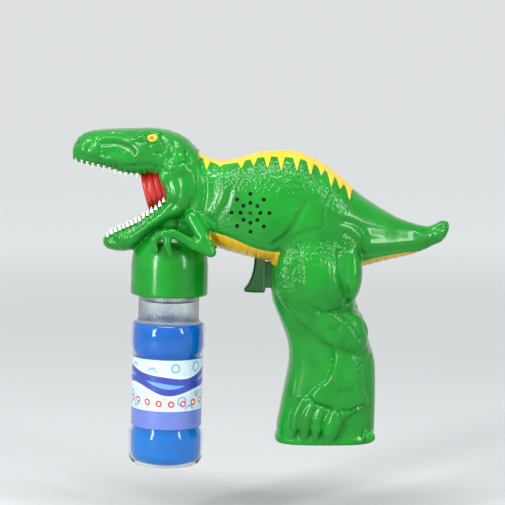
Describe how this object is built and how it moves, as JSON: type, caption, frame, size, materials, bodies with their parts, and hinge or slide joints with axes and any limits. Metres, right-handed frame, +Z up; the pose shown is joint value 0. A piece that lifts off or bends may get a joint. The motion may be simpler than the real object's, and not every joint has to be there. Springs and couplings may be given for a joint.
{
  "type": "bubble machine",
  "caption": "Hand-held dinosaur bubble machine: pull the trigger and a motor fan blows bubbles from the mouth; the solution bottle screws in under the chin.",
  "frame": {"origin": "middle of the pistol grip, on the seam between the two shells", "axes": "+Z up, snout towards -X, tail towards +X, +Y is the toy's right side with the screws and the battery door"},
  "size_m": [0.187, 0.0494, 0.1691],
  "materials": {
    "green_plastic": "gloss",
    "red_plastic": "gloss",
    "white_plastic": "satin",
    "black_plastic": "matte",
    "grey_plastic": "matte",
    "cell_jacket": "gloss",
    "steel": "satin",
    "brass": "satin",
    "clear_plastic": "gloss",
    "solution": "gloss",
    "label": "satin",
    "soft_white": "matte",
    "red_wire": "matte",
    "black_wire": "matte"
  },
  "bodies": {
    "gun": {"air_duct": "white_plastic", "battery_box": "black_plastic", "bottle_cap": "green_plastic", "bubble_ring": "red_plastic", "cap_gasket": "soft_white", "cell_1": "cell_jacket", "cell_2": "cell_jacket", "cell_3": "cell_jacket", "cell_spring_1": "steel", "cell_spring_2": "steel", "cell_spring_3": "steel", "contact_plate_bottom": "steel", "contact_plate_top": "steel", "dip_tube": "clear_plastic", "drive_frame": "black_plastic", "fan_cover": "white_plastic", "fan_housing": "white_plastic", "frame_screw_1": "steel", "frame_screw_2": "steel", "idler_axle": "steel", "left_shell": "green_plastic", "motor": "steel", "mouth_liner": "red_plastic", "pump_cover": "grey_plastic", "pump_housing": "grey_plastic", "right_shell": "green_plastic", "shell_screw_1": "steel", "shell_screw_2": "steel", "shell_screw_3": "steel", "shell_screw_4": "steel", "shell_screw_5": "steel", "shell_screw_6": "steel", "shell_screw_7": "steel", "shell_screw_8": "steel", "solution_tube": "clear_plastic", "switch_base": "black_plastic", "switch_contact": "brass", "switch_leaf": "brass", "trigger_spring": "steel", "wiper_pin": "steel", "wire_black": "black_wire", "wire_red": "red_wire"},
    "trigger": {"trigger": "green_plastic", "pull_bar": "white_plastic"},
    "wiper": {"wiper": "white_plastic"},
    "fan": {"fan_wheel": "white_plastic", "motor_shaft": "steel", "motor_pinion": "brass"},
    "idler": {"idler_gear": "white_plastic"},
    "pump": {"pump_gear": "white_plastic", "pump_rotor": "white_plastic"},
    "bottle": {"bottle": "clear_plastic", "bubble_solution": "solution", "bottle_label": "label"},
    "battery_door": {"battery_door": "green_plastic", "door_screw": "steel"}
  },
  "joints": [
    {"name": "trigger_pull", "type": "slide", "parent": "gun", "child": "trigger", "axis": [1, 0, 0], "range_m": [0, 0.006], "stiffness_N_per_m": 400, "springref_m": -0.003, "deforming": ["trigger_spring", "switch_leaf"]},
    {"name": "wiper_swing", "type": "hinge", "parent": "gun", "child": "wiper", "pos_m": [-0.06191, 0, 0.08948], "axis": [0, -1, 0], "range_deg": [0, 50]},
    {"name": "fan_spin", "type": "hinge", "parent": "gun", "child": "fan", "pos_m": [-0.04, 0, 0.0705], "axis": [0, 1, 0], "continuous": true},
    {"name": "idler_spin", "type": "hinge", "parent": "gun", "child": "idler", "pos_m": [-0.02912, 0, 0.06543], "axis": [0, 1, 0], "continuous": true},
    {"name": "pump_spin", "type": "hinge", "parent": "gun", "child": "pump", "pos_m": [-0.01532, 0, 0.06543], "axis": [0, 1, 0], "continuous": true},
    {"name": "bottle_out", "type": "slide", "parent": "gun", "child": "bottle", "axis": [-0.0279, 0, -0.9996], "range_m": [0, 0.03]},
    {"name": "door_off", "type": "slide", "parent": "gun", "child": "battery_door", "axis": [0, 1, 0], "range_m": [0, 0.025]}
  ],
  "couplings": [
    {"joint": "wiper_swing", "follows": "trigger_pull", "rad_per_m": 145.44},
    {"joint": "idler_spin", "follows": "fan_spin", "ratio": -0.25},
    {"joint": "pump_spin", "follows": "fan_spin", "ratio": 0.069444}
  ]
}
